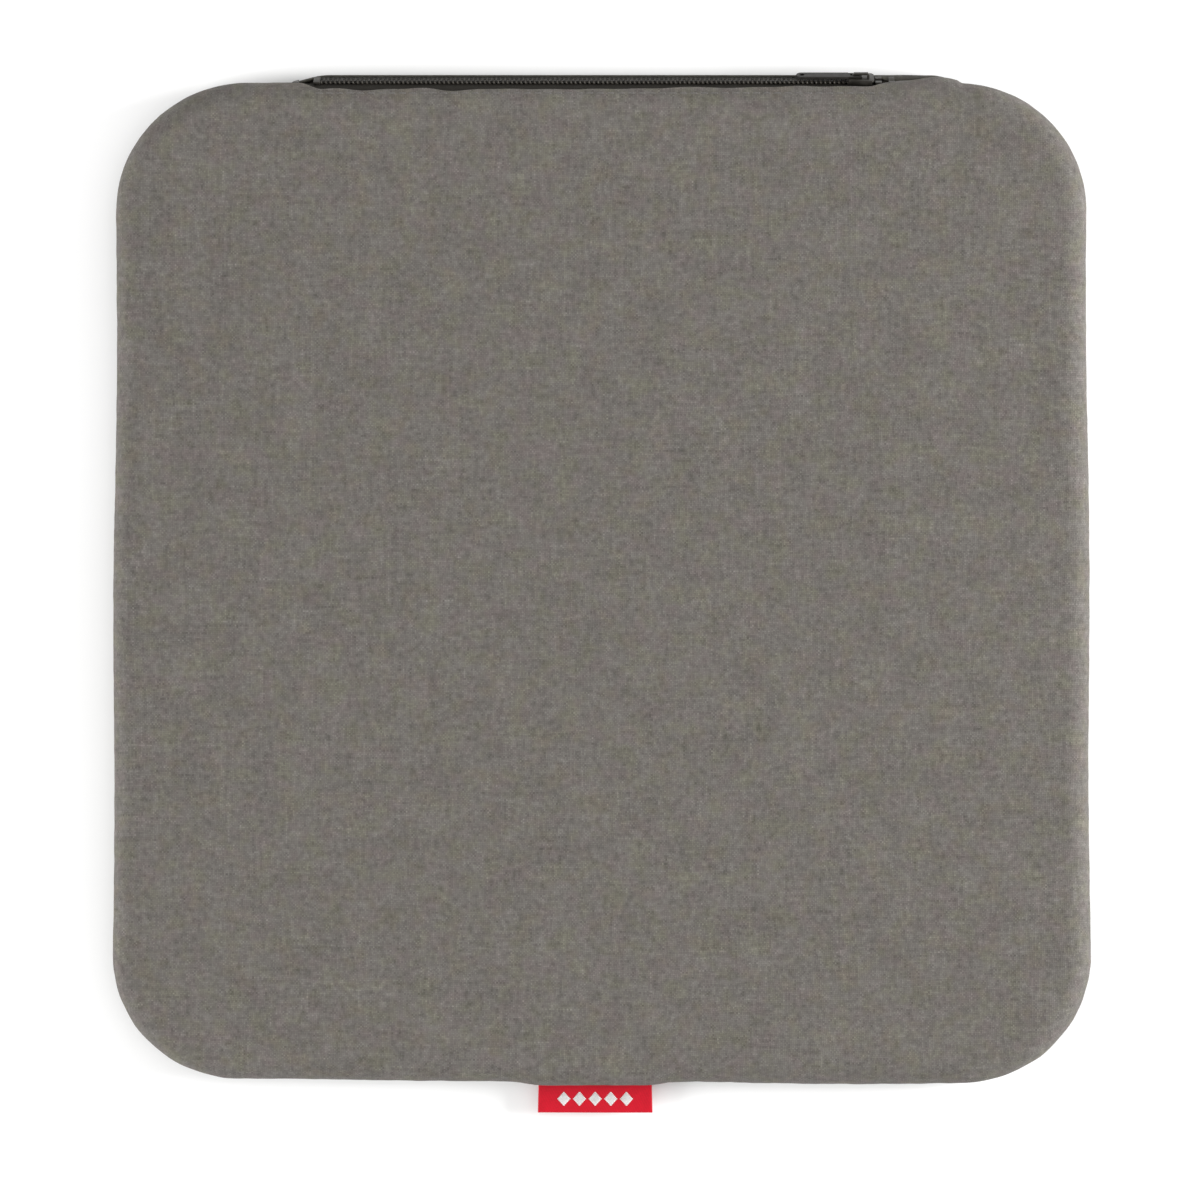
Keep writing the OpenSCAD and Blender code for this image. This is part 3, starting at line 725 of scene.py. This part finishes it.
def layer(name, node, slot, z0, z1, rough, seed):
    """A flat layer with softly rounded, slightly uneven sides."""
    soft = min(0.4 * (z1 - z0), 0.5)
    wave = waves(seed, GIRTH, 6, 40, 12)(dist[pick])
    rings = []
    for k in range(9):
        t = k / 8
        z = z0 + (z1 - z0) * t
        inset = inset_at(min(max(z, LAYER_LO + 0.02), LAYER_HI - 0.02), 3.35, LAYER_LO, LAYER_HI)
        inset += soft * (abs(2 * t - 1) ** 4) * 0.8
        ring = slab_ring(inset + 0.1, z, HALF_D - 5.4 - soft * (abs(2 * t - 1) ** 4) * 0.8)
        ring[:, :2] -= normal[pick] * (rough * (1 + wave) * 0.5)[:, None]
        rings.append(ring)
    rings = shrunk(rings[0], SHARES[::-1]) + rings + shrunk(rings[-1], SHARES)
    obj = lofted(name, rings, [r * 0.001 for r in rings], cap_first=True, cap_last=True)
    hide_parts(node)
    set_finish(obj, slot)


foil_lo = LAYER_HI - 2.5 - 0.05 - 0.2
layer("felt_upper", "wicking_felt", "felt_white", LAYER_HI - 2.5, LAYER_HI, 0.15, 31)
layer("foil_sheet", "foil_membrane", "foil", foil_lo, foil_lo + 0.2, 0.02, 32)
layer("foam_slab", "foam_core", "foam", LAYER_LO + 1.85, foil_lo - 0.05, 0.08, 33)
layer("felt_lower", "base_felt", "felt_grey", LAYER_LO, LAYER_LO + 1.8, 0.15, 34)


def liner(name, node, upper):
    """Half of the liner bag: a thin skin round the layers, open at its join."""
    split = HEIGHT / 2
    zs = np.linspace(split + 0.03, LINER_HI, 14) if upper else np.linspace(split - 0.03, LINER_LO, 14)
    ripple = 0.04 * waves(41, GIRTH, 5, 25, 12)(dist[pick])
    outer, inner = [], []
    for z in zs:
        for skin, t in ((outer, 0.0), (inner, 0.28)):
            zz = min(max(z, LINER_LO + t), LINER_HI - t)
            ring = slab_ring(inset_at(zz, 3.0 + t, LINER_LO + t, LINER_HI - t), zz, HALF_D - 5 - t)
            ring[:, :2] -= normal[pick] * (0.05 + ripple)[:, None]
            skin.append(ring)
    rings = (inner + shrunk(inner[-1], SHARES))[::-1] + outer + shrunk(outer[-1], SHARES)
    obj = lofted(name, rings, [r * 0.001 for r in rings], cap_first=True, cap_last=True)
    if not upper:
        obj.data.flip_normals()
    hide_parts(node)
    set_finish(obj, "liner_cloth")


liner("liner_upper", "liner_top", True)
liner("liner_lower", "liner_bottom", False)
ring = slab_ring(2.85, HEIGHT / 2, HALF_D - 5 + 0.12)
ring[:, 2] += np.where(np.arange(len(ring)) % 2, 0.9, -0.9)
whip = make("liner_whipping", *tube(ring, (0, 0, 1.0), 0.12, 0.12, 6, closed=True))
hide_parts("liner_stitching")
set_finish(whip, "motif_thread")

# ---- Metal parts: soft edges ----

for name, width in (("slider_body", 0.22), ("pull_tab", 0.14), ("top_stops", 0.22), ("bottom_stop", 0.3)):
    obj = bpy.data.objects[name]
    obj.modifiers.new("weld", "WELD").merge_threshold = 2e-6
    soften = obj.modifiers.new("soft_edges", "BEVEL")
    soften.width, soften.segments = width * 0.001, 3
    soften.limit_method, soften.angle_limit = "ANGLE", math.radians(35)
    soften.harden_normals = False
    obj.data.shade_smooth()

# ---- Materials ----


class Paint:
    """One material, with short calls that add its nodes."""

    def __init__(self, name, source="Object"):
        self.material = bpy.data.materials.new(name)
        self.material.use_nodes = True
        self.tree = self.material.node_tree
        self.shader = self.tree.nodes["Principled BSDF"]
        if source == "cloth":
            self.place = self.add("ShaderNodeAttribute", attribute_name="cloth").outputs["Vector"]
        else:
            self.place = self.add("ShaderNodeTexCoord").outputs[source]

    def add(self, kind, feeds=(), **settings):
        node = self.tree.nodes.new(kind)
        for key, value in settings.items():
            setattr(node, key, value)
        for key, value in dict(feeds).items():
            self.feed(node.inputs[key], value)
        return node

    def feed(self, socket, value):
        if isinstance(value, bpy.types.NodeSocket):
            self.tree.links.new(value, socket)
        elif isinstance(value, tuple) and len(value) == 3 and socket.type == "RGBA":
            socket.default_value = (*value, 1)
        else:
            socket.default_value = value

    def calc(self, op, *values):
        return self.add("ShaderNodeMath", enumerate(values), operation=op).outputs[0]

    def plus(self, *values):
        return reduce(lambda a, b: self.calc("ADD", a, b), values)

    def times(self, *values):
        return reduce(lambda a, b: self.calc("MULTIPLY", a, b), values)

    def split(self, vector=None):
        return self.add("ShaderNodeSeparateXYZ", {0: vector or self.place}).outputs[:3]

    def vector(self, x, y, z):
        return self.add("ShaderNodeCombineXYZ", {0: x, 1: y, 2: z}).outputs[0]

    def noise(self, size, detail=2.0, rough=0.5, vector=None):
        """Smooth noise with features about size millimetres across, or of unit size for a given vector."""
        feeds = {"Vector": vector or self.place, "Scale": 1000.0 / size if vector is None else size,
                 "Detail": detail, "Roughness": rough}
        return self.add("ShaderNodeTexNoise", feeds).outputs["Fac"]

    def cells(self, size, feature="F1"):
        feeds = {"Vector": self.place, "Scale": 1000.0 / size}
        return self.add("ShaderNodeTexVoronoi", feeds, feature=feature).outputs["Distance"]

    def streaks(self, rough, place, *scales):
        """Noise drawn out along some directions."""
        return self.noise(1.0, 3.0, rough, self.vector(*(self.times(p, k) for p, k in zip(place, scales))))

    def swing(self, value, amount):
        """How far a value is from a half, times an amount."""
        return self.times(self.plus(value, -0.5), amount)

    def ribs(self, value):
        return self.calc("ABSOLUTE", self.calc("SINE", value))

    def fit(self, value, a, b, c=0.0, d=1.0):
        return self.add("ShaderNodeMapRange", {0: value, 1: a, 2: b, 3: c, 4: d}).outputs[0]

    def even(self, noise, c=0.0, d=1.0):
        """A noise stretched from its usual 0.3 to 0.7."""
        return self.fit(noise, 0.3, 0.7, c, d)

    def ramp(self, value, *stops):
        node = self.add("ShaderNodeValToRGB", {0: value})
        row = node.color_ramp.elements
        while len(row) < len(stops):
            row.new(0.5)
        for element, (at, colour) in zip(row, stops):
            element.position, element.color = at, (*colour, 1)
        return node.outputs[0]

    def mix(self, share, a, b, blend="MIX"):
        return self.add("ShaderNodeMix", {0: share, 6: a, 7: b}, data_type="RGBA", blend_type=blend).outputs[2]

    def shade(self, colour, amount):
        """The colour times a number."""
        grey = self.add("ShaderNodeCombineColor", {0: amount, 1: amount, 2: amount}).outputs[0]
        return self.mix(1.0, colour, grey, "MULTIPLY")

    def finish(self, colour, rough, height, depth, strength, **constants):
        """Connects colour, roughness and bump (depth in millimetres) and sets the shader's own constants."""
        bump = self.add("ShaderNodeBump", {"Height": height, "Distance": depth * 0.001, "Strength": strength})
        self.feed(self.shader.inputs["Base Color"], colour)
        self.feed(self.shader.inputs["Roughness"], rough)
        self.feed(self.shader.inputs["Normal"], bump.outputs[0])
        for key, value in constants.items():
            self.feed(self.shader.inputs[key.replace("_", " ")], value)
        return self.material


def woven(name, pitch, stops, odd_a, odd_b, odd_share, depth, rough, sheen):
    """Plain-weave cloth: two sets of round mixed yarns that rise and dive over each other."""
    m = Paint(name, "cloth")
    x, y, _ = m.split()
    u, v = (m.plus(m.calc("DIVIDE", place, pitch * 0.001), m.even(m.noise(sway, 1.0), -0.7, 0.7),
                   m.even(m.noise(jitter, 1.0), -0.16, 0.16))
            for place, sway, jitter in ((x, 16, 2.6), (y, 21, 3.1)))
    levels, tones, strands, tints = [], [], [], []
    for across, along, sign, seed in ((u, v, 1, 2.0), (v, u, -1, 9.0)):
        row = m.calc("FLOOR", across)
        local = m.plus(m.calc("FRACT", across), -0.5)
        tone = m.noise(1.0, 1.0, 0.6, m.vector(m.times(row, 0.5), m.times(along, 0.17), seed))
        slow = m.noise(1.0, 0.0, 0.5, m.vector(m.times(row, 3.71), m.times(along, 0.028), seed + 3))
        tones.append(m.plus(tone, m.swing(slow, 0.3)))
        width = m.plus(2.0, m.swing(slow, -0.5))
        side = m.times(local, width)
        dome = m.calc("SQRT", m.calc("MAXIMUM", m.plus(1.0, m.times(side, side, -1.0)), 0.0))
        swing = m.calc("COSINE", m.times(m.plus(along, row, -0.5), math.pi))
        twist = m.calc("SINE", m.times(m.plus(m.times(along, 2.6), m.times(local, 2.2 * sign)), 2 * math.pi))
        fibre = m.noise(1.0, 2.0, 0.6, m.vector(m.times(across, 9.0), m.times(along, 1.7), seed + 7))
        strands.append(fibre)
        here = (row, along) if sign > 0 else (along, row)
        where = [m.times(c, 0.078) for c in here]
        tints.append([m.noise(1.0, 2.0, 0.6, m.vector(*where, k)) for k in (20.0, 30.0)])
        levels.append(m.plus(m.times(dome, 0.55), m.times(swing, 0.34 * sign), m.times(twist, 0.03)))
    over = m.calc("GREATER_THAN", levels[0], levels[1])
    high = m.calc("MAXIMUM", *levels)
    under = m.calc("SUBTRACT", 1.0, over)
    tone = m.plus(m.times(tones[0], over), m.times(tones[1], under))
    strand = m.plus(m.times(strands[0], over), m.times(strands[1], under))
    fuzz = m.noise(0.11, 2.0, 0.7)
    broad = m.plus(m.swing(m.noise(1.7, 1.0, 0.5), 0.4), m.swing(m.noise(11.0, 3.0, 0.6), 0.34))
    tone = m.plus(m.times(tone, 0.8), 0.105, broad)
    colour = m.ramp(m.plus(tone, m.swing(strand, 0.45), m.swing(fuzz, 0.15)), *stops)
    for k, odd in enumerate((odd_a, odd_b)):
        tint = m.plus(m.times(tints[0][k], over), m.times(tints[1][k], under))
        colour = m.mix(m.times(m.fit(tint, 0.45, 0.66), odd_share), colour, m.mix(1.0, colour, odd, "MULTIPLY"))
    # Painted shade: the colour darkens where a yarn falls to the edge of its dome or dives under the crossing
    # yarn, following the weave's height.
    colour = m.shade(colour, m.fit(high, 0.15, 0.85, 0.78, 1.05))
    return m.finish(colour, m.even(fuzz, rough - 0.08, min(rough + 0.06, 1.0)),
                    m.plus(high, m.times(strand, 0.5), m.times(fuzz, 0.15)),
                    depth, 0.9, Sheen_Weight=sheen, Sheen_Roughness=0.45, Specular_IOR_Level=0.25)


def twill(name, pitch, dark, light, depth):
    """Zip tape: steep twill ribs with a fine cross yarn."""
    m = Paint(name, "cloth")
    x, y, _ = m.split()
    u, v = m.calc("DIVIDE", x, pitch * 0.001), m.calc("DIVIDE", y, pitch * 0.001)
    turn = m.calc("PINGPONG", u, 4.0)
    rib = m.ribs(m.times(m.plus(turn, m.times(v, 0.7)), math.pi))
    yarn = m.ribs(m.times(v, 2.2 * math.pi))
    fuzz = m.noise(0.12, 2.0, 0.7)
    high = m.plus(m.times(rib, 0.65), m.times(yarn, 0.25), m.times(fuzz, 0.3))
    # Painted shade: dark in the low grooves between the ribs, light on their raised tops.
    colour = m.mix(m.fit(high, 0.25, 1.0), dark, light)
    colour = m.shade(colour, m.even(m.noise(5.0), 0.88, 1.1))
    return m.finish(colour, m.even(fuzz, 0.7, 0.86), high, depth, 0.9,
                    Sheen_Weight=0.02, Specular_IOR_Level=0.12)


def thread(name, dark, light, pitch=0.42, sheen=0.15, rough=0.6):
    """Plied thread: a slanted twist with fine fibres."""
    m = Paint(name)
    x, y, z = m.split()
    along = m.times(m.plus(x, m.times(y, 0.8), m.times(z, 1.1)), 1000.0 / pitch * math.pi)
    twist = m.ribs(along)
    fuzz = m.noise(0.09, 2.0, 0.7)
    high = m.plus(m.times(twist, 0.8), m.times(fuzz, 0.3))
    # Painted shade: darker in the grooves of the twist, lighter on its raised plies.
    colour = m.mix(m.fit(high, 0.2, 1.0), dark, light)
    colour = m.shade(colour, m.even(m.noise(3.0), 0.88, 1.08))
    return m.finish(colour, m.even(fuzz, rough - 0.1, rough + 0.1), high, 0.06, 0.8,
                    Sheen_Weight=sheen, Specular_IOR_Level=0.4)


def satin(name, colour, low_shade, rough=0.42, rib=0.16):
    """Satin ribbon: fine close ribs across its width, broken by the long floats of its face."""
    m = Paint(name, "cloth")
    x, y, _ = m.split()
    ribs = m.ribs(m.times(y, 1000.0 / rib * math.pi))
    floats = m.noise(1.0, 1.0, 0.6, m.vector(m.times(x, 700.0), m.times(y, 5200.0), 1.0))
    cross = m.ribs(m.times(m.plus(x, m.times(y, 0.35)), 1000.0 / 0.5 * math.pi))
    high = m.plus(m.times(ribs, 0.5), m.times(floats, 0.5), m.times(m.calc("POWER", cross, 6.0), 0.3))
    # Painted shade: the low places between ribs and floats take the darker shade colour, the raised ones the face
    # colour.
    tint = m.mix(m.fit(high, 0.25, 0.95), low_shade, colour)
    tint = m.shade(tint, m.even(m.noise(2.5), 0.93, 1.05))
    return m.finish(tint, m.even(floats, rough - 0.07, rough + 0.1), high, 0.035, 0.8,
                    Specular_IOR_Level=0.22)


def plastic(name, dark, light, rough):
    """Extruded nylon with slight drawing lines."""
    m = Paint(name)
    grain = m.noise(0.3, 3.0, 0.6)
    fine = m.noise(0.07, 2.0, 0.6)
    colour = m.mix(m.even(grain), dark, light)
    return m.finish(colour, m.even(fine, rough - 0.08, rough + 0.1),
                    m.plus(grain, m.times(fine, 0.5)), 0.02, 0.7, Specular_IOR_Level=0.5)


def lacquer(name, dark, light, bare, rough, metallic):
    """Die-cast metal under dark lacquer, with orange peel and a few fine scratches."""
    m = Paint(name)
    x, y, z = m.split()
    peel, cloud = m.noise(0.35, 2.0, 0.5), m.noise(1.6, 3.0, 0.6)
    line = m.streaks(0.6, (x, m.plus(y, m.times(z, 0.6)), z), 420.0, 5200.0, 900.0)
    scratch = m.times(m.fit(line, 0.66, 0.72), m.fit(cloud, 0.5, 0.62))
    colour = m.mix(scratch, m.mix(m.even(cloud), dark, light), bare)
    return m.finish(colour, m.plus(m.even(cloud, rough - 0.05, rough + 0.1), m.times(scratch, -0.1)),
                    m.plus(peel, m.times(scratch, -0.8)), 0.01, 0.8, Metallic=metallic, Specular_IOR_Level=0.3)


def felt(name, dark, light, stretch, depth):
    """Needled fibre: a tangle of fine strands over softer tufts."""
    m = Paint(name)
    place = m.split()
    a = m.streaks(0.7, place, 5000.0 / stretch, 5000.0, 5000.0)
    b = m.streaks(0.7, place, 5000.0, 5000.0 / stretch, 4000.0)
    tuft = m.noise(2.2, 3.0, 0.6)
    high = m.plus(m.times(m.calc("MAXIMUM", a, b), 0.8), m.times(tuft, 0.6))
    # Painted shade: darker where the fibres and tufts lie low, lighter where they stand up.
    colour = m.mix(m.fit(high, 0.55, 0.95), dark, light)
    return m.finish(colour, m.even(tuft, 0.88, 1.0), high, depth, 0.9,
                    Sheen_Weight=0.3, Sheen_Roughness=0.6, Specular_IOR_Level=0.15)


def spongy(name, pit_shade, wall):
    """Fine open foam, cut with a knife: round cells of mixed size."""
    m = Paint(name)
    big, small = m.cells(0.9), m.cells(0.4)
    high = m.plus(m.times(m.fit(big, 0.1, 0.7), 0.6), m.times(m.fit(small, 0.1, 0.7), 0.4))
    # Painted shade: the hollow middle of each cell takes the dark shade colour, its rim the wall colour.
    colour = m.shade(m.mix(high, pit_shade, wall), m.even(m.noise(12.0), 0.94, 1.04))
    return m.finish(colour, m.fit(high, 0.0, 1.0, 0.98, 0.86), high, 0.15, 0.9,
                    Subsurface_Weight=0.05, Specular_IOR_Level=0.2)


def crinkled(name):
    """Metallised film with soft creases."""
    m = Paint(name)
    folds = m.cells(9.0, "DISTANCE_TO_EDGE")
    fine = m.noise(3.0, 3.0, 0.6)
    colour = m.mix(m.even(fine), (0.62, 0.63, 0.65), (0.82, 0.83, 0.84))
    return m.finish(colour, m.even(fine, 0.2, 0.36),
                    m.plus(m.fit(folds, 0.0, 0.12), m.times(fine, 0.8)), 0.25, 0.6, Metallic=1.0)


def bonded(name, dark, light):
    """Spunbond liner: matted filaments with a grid of pressed points."""
    m = Paint(name)
    x, y, z = m.split()
    k = 1000.0 / 1.3 * math.pi
    dots = m.times(m.calc("SINE", m.times(m.plus(x, z), k)), m.calc("SINE", m.times(m.plus(y, z), k)))
    press = m.fit(m.calc("ABSOLUTE", dots), 0.55, 0.85)
    slanted = (m.plus(x, y), m.calc("SUBTRACT", x, y), z)
    a, b = m.streaks(0.7, slanted, 900.0, 6000.0, 3000.0), m.streaks(0.7, slanted, 6000.0, 900.0, 3000.0)
    strands = m.calc("MAXIMUM", a, b)
    high = m.plus(m.times(strands, 0.6), m.times(press, -0.5))
    # Painted shade: darker between the filaments, where the web lies lower. The pressed points are darker too.
    colour = m.shade(m.mix(m.fit(strands, 0.45, 0.75), dark, light), m.fit(press, 0.0, 1.0, 1.0, 0.88))
    return m.finish(colour, m.fit(strands, 0.4, 0.8, 0.62, 0.8), high, 0.08, 0.9, Specular_IOR_Level=0.35)


def plaster(name):
    """The studio floor: matt paint with a faint unevenness."""
    m = Paint(name)
    cloud, grain = m.noise(180.0, 2.0), m.noise(1.2, 3.0, 0.6)
    colour = m.mix(m.even(cloud), (0.89, 0.89, 0.885), (0.91, 0.91, 0.91))
    return m.finish(colour, m.even(grain, 0.85, 0.95), grain, 0.02, 0.5, Specular_IOR_Level=0.2)


GREY = ((0.2, (0.0644, 0.0588, 0.0534)), (0.42, (0.0985, 0.0911, 0.0829)), (0.54, (0.1155, 0.1072, 0.0979)),
        (0.68, (0.1373, 0.1281, 0.1176)), (0.9, (0.1875, 0.1765, 0.163)))
COAL = ((0.22, (0.025, 0.0235, 0.019)), (0.45, (0.041, 0.0385, 0.0315)), (0.6, (0.053, 0.0498, 0.041)),
        (0.88, (0.082, 0.077, 0.064)))
PAINTS = {
    "cover_top_cloth": woven("heather_cloth", 0.56, GREY, (1.02, 1.06, 0.84), (1.05, 0.93, 0.98), 0.6,
                             0.1, 0.92, 0.04),
    "cover_bottom_cloth": woven("charcoal_cloth", 0.44, COAL, (1.0, 1.02, 0.93), (1.02, 0.98, 1.0), 0.4,
                                0.09, 0.88, 0.06),
    # The tape is black; its colours are set darker still, as painted shade for the shadow it lies in under the
    # lips.
    "zip_tape": twill("tape_twill", 0.5, (0.006, 0.0049, 0.0032), (0.0175, 0.0148, 0.0108), 0.07),
    "zip_coil": plastic("coil_nylon", (0.0275, 0.0228, 0.017), (0.05, 0.0428, 0.0328), 0.42),
    "zip_thread": thread("coil_thread", (0.01, 0.0088, 0.007), (0.03, 0.027, 0.022), 0.36),
    "topstitch": thread("stitch_thread", (0.023, 0.0213, 0.018), (0.066, 0.0615, 0.053)),
    "grey_thread": thread("grey_stitch_thread", (0.06, 0.056, 0.052), (0.14, 0.131, 0.122)),
    "seam_thread": thread("overlock_thread", (0.035, 0.033, 0.03), (0.11, 0.105, 0.095)),
    "pull": lacquer("pull_lacquer", (0.0068, 0.006, 0.0048), (0.0135, 0.0118, 0.0092), (0.063, 0.058, 0.05),
                    0.5, 0.0),
    "zip_metal": lacquer("lacquered_metal", (0.0175, 0.0155, 0.0128), (0.0325, 0.029, 0.0242),
                         (0.147, 0.135, 0.117), 0.36, 0.35),
    "tag_satin": satin("red_satin", (0.56, 0.0012, 0.017), (0.33, 0.0006, 0.008), 0.5),
    "motif_thread": thread("white_thread", (0.42, 0.40, 0.40), (0.82, 0.80, 0.79), 0.4, 0.2, 0.5),
    "label_satin": satin("white_satin", (0.62, 0.61, 0.59), (0.4, 0.395, 0.38), 0.38, 0.2),
    "liner_cloth": bonded("spunbond", (0.17, 0.17, 0.172), (0.34, 0.34, 0.345)),
    "felt_white": felt("white_felt", (0.42, 0.415, 0.4), (0.72, 0.715, 0.7), 14.0, 0.2),
    "felt_grey": felt("grey_felt", (0.06, 0.061, 0.063), (0.22, 0.222, 0.226), 14.0, 0.2),
    "foam": spongy("foam_cells", (0.09, 0.09, 0.092), (0.36, 0.36, 0.365)),
    "foil": crinkled("metallised_film"),
}
OWN = {"stitching_upper": "grey_thread", "slider_body": "zip_metal", "pull_tab": "pull",
       "top_stops": "zip_metal", "bottom_stop": "zip_metal"}  # paints of the pieces whose own slot isn't one
for obj in list(bpy.data.objects):
    paint = OWN.get(obj.name) or obj.get("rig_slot")
    if paint and obj.type == "MESH":
        obj.data.materials.clear()
        obj.data.materials.append(PAINTS[paint])

# ---- Floor, light and camera ----

FAR, DROP = 5000, -0.1  # just under the mat, so that the two faces don't meet
floor = make("floor", [(-FAR, -FAR, DROP), (FAR, -FAR, DROP), (FAR, FAR, DROP), (-FAR, FAR, DROP)],
             [(0, 1, 2, 3)], body=None)
floor.data.materials.append(plaster("studio_floor"))

world = bpy.data.worlds.new("studio")
bpy.context.scene.world = world
world.use_nodes = True
sky = world.node_tree.nodes["Background"].inputs
sky["Color"].default_value, sky["Strength"].default_value = (1, 1, 1, 1), 0.84


def area(name, place, size, power):
    """A round light that faces the mat."""
    data = bpy.data.lights.new(name, "AREA")
    data.shape, data.size, data.energy = "DISK", size, power
    obj = bpy.data.objects.new(name, data)
    bpy.context.scene.collection.objects.link(obj)
    obj.location = place
    obj.rotation_euler = (-Vector(place)).to_track_quat("-Z", "Y").to_euler()


area("key", (1.42, 0.1, 0.46), 0.7, 37)
area("fill", (-1.38, -0.4, 0.46), 0.9, 22)

LENS, SENSOR = 120, 36
FIELD, LEVEL = 0.3704, 0.009  # the frame is FIELD wide at the height LEVEL
data = bpy.data.cameras.new("camera")
data.lens, data.sensor_width, data.clip_end = LENS, SENSOR, 20
camera = bpy.data.objects.new("camera", data)
bpy.context.scene.collection.objects.link(camera)
camera.location = (-0.0005, -0.0058, LEVEL + FIELD * LENS / SENSOR)
bpy.context.scene.camera = camera
bpy.context.scene.view_settings.view_transform = "Standard"
